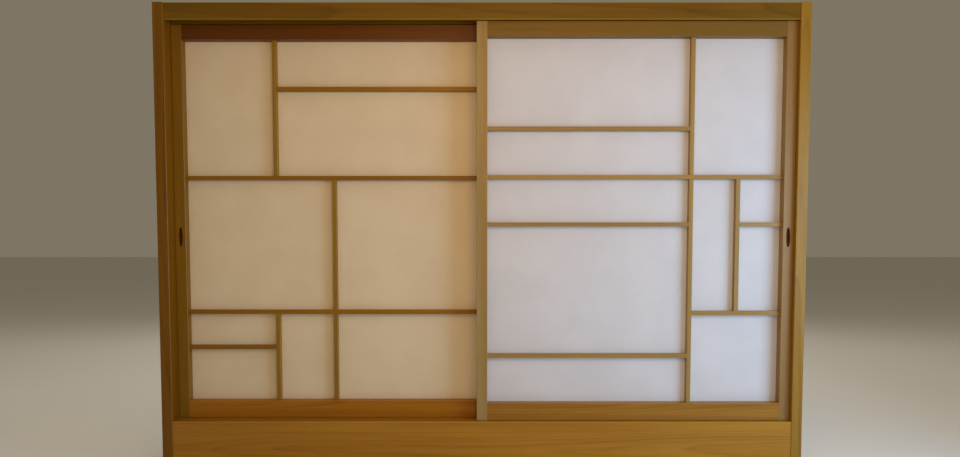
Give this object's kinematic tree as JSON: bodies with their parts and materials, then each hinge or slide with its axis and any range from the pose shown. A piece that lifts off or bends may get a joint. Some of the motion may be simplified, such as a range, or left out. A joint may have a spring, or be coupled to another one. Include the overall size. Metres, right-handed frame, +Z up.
{
  "type": "shoji sliding screen",
  "caption": "Pair of sliding shoji panels, paper behind an irregular wooden lattice, in a two-track wooden window frame with a wide board under the sill.",
  "frame": {"origin": "middle of the frame's footprint, at the bottom of the jambs and the board", "axes": "+X to the right seen from the room side, -Y towards the room (the lattice side), +Z up"},
  "size_m": [1.758, 0.11, 1.252],
  "materials": {
    "frame_wood": "planed softwood, bare",
    "panel_wood": "planed softwood, bare",
    "lattice_wood": "planed softwood, bare",
    "strip_wood": "polished hardwood",
    "paper": "matt handmade paper",
    "screw_steel": "zinc plated"
  },
  "bodies": {
    "frame": {"jamb_left": "frame_wood", "jamb_right": "frame_wood", "head": "frame_wood", "sill": "frame_wood", "front_board": "frame_wood", "running_strip_front": "strip_wood", "running_strip_rear": "strip_wood", "screws_left": "screw_steel", "screws_right": "screw_steel"},
    "front_panel": {"front_bottom_rail": "panel_wood", "front_crossbar_low": "lattice_wood", "front_crossbar_lower": "lattice_wood", "front_crossbar_main": "lattice_wood", "front_crossbar_middle": "lattice_wood", "front_crossbar_stub": "lattice_wood", "front_crossbar_upper": "lattice_wood", "front_inner_stile": "panel_wood", "front_outer_stile": "panel_wood", "front_paper": "paper", "front_top_rail": "panel_wood", "front_upright_long": "lattice_wood", "front_upright_short": "lattice_wood"},
    "rear_panel": {"rear_bottom_rail": "panel_wood", "rear_crossbar_low": "lattice_wood", "rear_crossbar_lower": "lattice_wood", "rear_crossbar_main": "lattice_wood", "rear_crossbar_upper": "lattice_wood", "rear_inner_stile": "panel_wood", "rear_outer_stile": "panel_wood", "rear_paper": "paper", "rear_top_rail": "panel_wood", "rear_upright_long": "lattice_wood", "rear_upright_lower": "lattice_wood", "rear_upright_upper": "lattice_wood"}
  },
  "joints": [
    {"name": "front_panel_slide", "type": "slide", "parent": "frame", "child": "front_panel", "axis": [-1, 0, 0], "range_m": [0, 0.835]},
    {"name": "rear_panel_slide", "type": "slide", "parent": "frame", "child": "rear_panel", "axis": [1, 0, 0], "range_m": [0, 0.835]}
  ]
}
